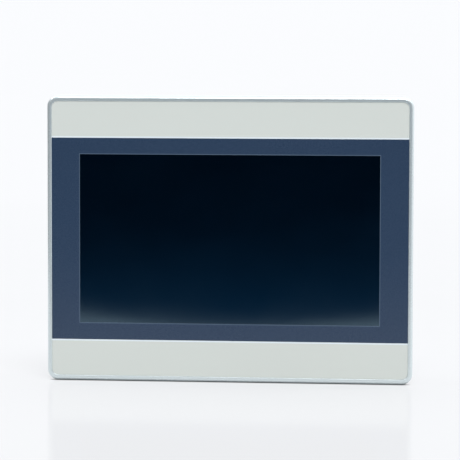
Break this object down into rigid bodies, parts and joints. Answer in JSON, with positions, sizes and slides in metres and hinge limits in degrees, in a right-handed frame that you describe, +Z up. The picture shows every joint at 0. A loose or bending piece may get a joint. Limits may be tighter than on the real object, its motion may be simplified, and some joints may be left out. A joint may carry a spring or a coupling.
{
  "type": "hmi touch panel",
  "caption": "Panel-mount operator terminal with a wide touch display, grey banded front and a rear housing with sockets facing down.",
  "frame": {"origin": "centre of the panel cut-out, in the plane where the gasket meets the panel", "axes": "+X to the right seen from the front, +Y into the cabinet, +Z up"},
  "size_m": [0.271, 0.0364, 0.2116],
  "materials": {
    "bezel_plastic": "satin silver-grey moulded plastic",
    "overlay_print": "printed polyester, fine texture",
    "gasket_foam": "closed-cell foam",
    "touch_film": "clear hard-coated film over a dark display",
    "touch_glass": "clear",
    "lcd_glass": "polariser, black when off",
    "light_guide": "clear acrylic and white sheets",
    "flex_film": "polyimide flex",
    "sheet_steel": "zinc-plated sheet",
    "circuit_board": "green solder mask",
    "ic_package": "black epoxy",
    "plated_steel": "nickel plate",
    "screw_steel": "zinc plate",
    "gold_contact": "gold-plated",
    "tinned_contact": "tin plate",
    "brass": "knurled brass",
    "connector_green": "green polyamide",
    "connector_black": "black polyamide",
    "switch_blue": "blue moulding",
    "switch_white": "white moulding",
    "button_red": "red moulding",
    "heatsink_black": "black anodised",
    "fuse_glass": "glass tube with plated caps",
    "cover_plastic": "spark-eroded texture, dark grey",
    "label_film": "blank silver label"
  },
  "bodies": {
    "housing": {"battery_holder": "connector_black", "board_screws": "screw_steel", "board_standoffs": "plated_steel", "bracket_inserts": "brass", "buzzer": "ic_package", "capacitors": "tinned_contact", "chassis_plate": "sheet_steel", "chassis_screws": "screw_steel", "coin_cell": "plated_steel", "cover_screws": "screw_steel", "diffuser_sheets": "light_guide", "dip_switch_body": "switch_blue", "display_cable": "flex_film", "front_bezel": "bezel_plastic", "front_overlay": "overlay_print", "fuse": "fuse_glass", "heatsink": "heatsink_black", "jack_screws": "plated_steel", "lcd_bracket_left": "sheet_steel", "lcd_bracket_right": "sheet_steel", "lcd_driver_board": "circuit_board", "lcd_frame": "sheet_steel", "lcd_glass": "lcd_glass", "led_strip": "circuit_board", "light_guide": "light_guide", "main_board": "circuit_board", "memory_chips": "ic_package", "network_jack_insert": "connector_black", "network_jack_shield": "plated_steel", "panel_gasket": "gasket_foam", "power_header": "connector_green", "power_inductors": "ic_package", "power_pins": "tinned_contact", "processor": "ic_package", "rear_cover": "cover_plastic", "rear_label": "label_film", "reset_dome": "plated_steel", "reset_switch_body": "ic_package", "serial_insulators": "connector_black", "serial_pins": "gold_contact", "serial_shells": "plated_steel", "touch_film": "touch_film", "touch_foam": "gasket_foam", "touch_glass": "touch_glass", "touch_tail": "flex_film", "usb_shell": "plated_steel", "usb_tongue": "connector_black"},
    "power_plug": {"power_plug": "connector_green", "plug_contacts": "tinned_contact"},
    "clamp_screw_1": {"terminal_screw_1": "screw_steel"},
    "clamp_screw_2": {"terminal_screw_2": "screw_steel"},
    "clamp_screw_3": {"terminal_screw_3": "screw_steel"},
    "clamp_cage_1": {"wire_clamp_1": "tinned_contact"},
    "clamp_cage_2": {"wire_clamp_2": "tinned_contact"},
    "clamp_cage_3": {"wire_clamp_3": "tinned_contact"},
    "dip_1": {"dip_slider_1": "switch_white"},
    "dip_2": {"dip_slider_2": "switch_white"},
    "dip_3": {"dip_slider_3": "switch_white"},
    "dip_4": {"dip_slider_4": "switch_white"},
    "reset": {"reset_button": "button_red"}
  },
  "joints": [
    {"name": "plug_pull", "type": "slide", "parent": "housing", "child": "power_plug", "axis": [0, 0, -1], "range_m": [0, 0.01]},
    {"name": "screw_turn_1", "type": "hinge", "parent": "power_plug", "child": "clamp_screw_1", "pos_m": [0.07292, 0.0266, -0.0859], "axis": [0, 1, 0], "range_deg": [0, 1440]},
    {"name": "cage_rise_1", "type": "slide", "parent": "power_plug", "child": "clamp_cage_1", "axis": [0, 1, 0], "range_m": [0, 0.002]},
    {"name": "screw_turn_2", "type": "hinge", "parent": "power_plug", "child": "clamp_screw_2", "pos_m": [0.078, 0.0266, -0.0859], "axis": [0, 1, 0], "range_deg": [0, 1440]},
    {"name": "cage_rise_2", "type": "slide", "parent": "power_plug", "child": "clamp_cage_2", "axis": [0, 1, 0], "range_m": [0, 0.002]},
    {"name": "screw_turn_3", "type": "hinge", "parent": "power_plug", "child": "clamp_screw_3", "pos_m": [0.08308, 0.0266, -0.0859], "axis": [0, 1, 0], "range_deg": [0, 1440]},
    {"name": "cage_rise_3", "type": "slide", "parent": "power_plug", "child": "clamp_cage_3", "axis": [0, 1, 0], "range_m": [0, 0.002]},
    {"name": "dip_slide_1", "type": "slide", "parent": "housing", "child": "dip_1", "axis": [0, 0, 1], "range_m": [0, 0.0018]},
    {"name": "dip_slide_2", "type": "slide", "parent": "housing", "child": "dip_2", "axis": [0, 0, 1], "range_m": [0, 0.0018]},
    {"name": "dip_slide_3", "type": "slide", "parent": "housing", "child": "dip_3", "axis": [0, 0, 1], "range_m": [0, 0.0018]},
    {"name": "dip_slide_4", "type": "slide", "parent": "housing", "child": "dip_4", "axis": [0, 0, 1], "range_m": [0, 0.0018]},
    {"name": "reset_press", "type": "slide", "parent": "housing", "child": "reset", "axis": [0, -1, 0], "range_m": [0, 0.00035], "stiffness_N_per_m": 1500, "springref_m": -0.0003}
  ],
  "couplings": [
    {"joint": "screw_turn_1", "follows": "cage_rise_1", "rad_per_m": 12566},
    {"joint": "screw_turn_2", "follows": "cage_rise_2", "rad_per_m": 12566},
    {"joint": "screw_turn_3", "follows": "cage_rise_3", "rad_per_m": 12566}
  ]
}
